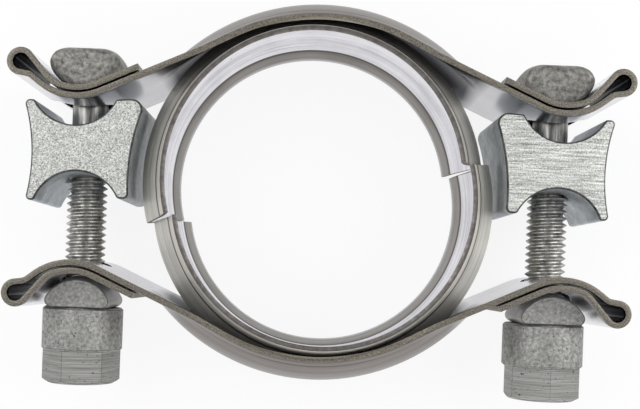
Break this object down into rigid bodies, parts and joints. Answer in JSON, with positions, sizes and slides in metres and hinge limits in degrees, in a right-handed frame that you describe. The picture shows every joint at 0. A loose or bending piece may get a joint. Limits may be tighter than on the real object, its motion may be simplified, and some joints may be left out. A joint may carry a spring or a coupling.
{
  "type": "exhaust clamp",
  "caption": "Band clamp for a flared exhaust joint: domed straps with folded ends over channel half rings, drawn together by bar-headed bolts, spacer blocks and collar nuts.",
  "frame": {"origin": "middle of the bore at half its depth, midway between the loose half rings", "axes": "+Z along the bore, +X from the left bolt to the right one, +Y along the bolts towards their heads"},
  "size_m": [0.1425, 0.092, 0.032],
  "materials": {
    "strap_steel": "satin stainless sheet, lightly brushed, with warm grey sheared edges",
    "insert_steel": "satin stainless sheet, bright inside, with warm grey sheared ends",
    "bolt_steel": "zinc-plated steel, mottled grey head and rolled shank and thread",
    "block_steel": "zinc-plated steel, granular sawn end faces and darker bluish sides",
    "washer_steel": "zinc-plated steel, matt with small pits on the end faces",
    "nut_steel": "zinc-plated steel, mottled collar over fine turning lines on the hexagon"
  },
  "bodies": {
    "upper": {"upper_strap": "strap_steel", "upper_v_insert": "insert_steel", "left_bolt": "bolt_steel", "right_bolt": "bolt_steel"},
    "lower": {"lower_strap": "strap_steel", "lower_v_insert": "insert_steel", "left_saddle_washer": "washer_steel", "right_saddle_washer": "washer_steel"},
    "left_nut": {"left_collar_nut": "nut_steel"},
    "right_nut": {"right_collar_nut": "nut_steel"},
    "left_block": {"left_spacer_block": "block_steel"},
    "right_block": {"right_spacer_block": "block_steel"}
  },
  "joints": [
    {"name": "tighten", "type": "slide", "parent": "upper", "child": "lower", "axis": [0, 1, 0], "range_m": [-0.006, 0.004]},
    {"name": "left_nut_turn", "type": "hinge", "parent": "lower", "child": "left_nut", "pos_m": [-0.0554, -0.038, 0], "axis": [0, 1, 0], "range_deg": [-1361, 908]},
    {"name": "right_nut_turn", "type": "hinge", "parent": "lower", "child": "right_nut", "pos_m": [0.0554, -0.038, 0], "axis": [0, 1, 0], "range_deg": [-1361, 908]},
    {"name": "left_block_slide", "type": "slide", "parent": "upper", "child": "left_block", "axis": [0, 1, 0], "range_m": [-0.0015, 0.0015]},
    {"name": "right_block_slide", "type": "slide", "parent": "upper", "child": "right_block", "axis": [0, 1, 0], "range_m": [-0.0015, 0.0015]}
  ],
  "couplings": [
    {"joint": "left_nut_turn", "follows": "tighten", "rad_per_m": 3957.9},
    {"joint": "right_nut_turn", "follows": "tighten", "rad_per_m": 3957.9}
  ]
}
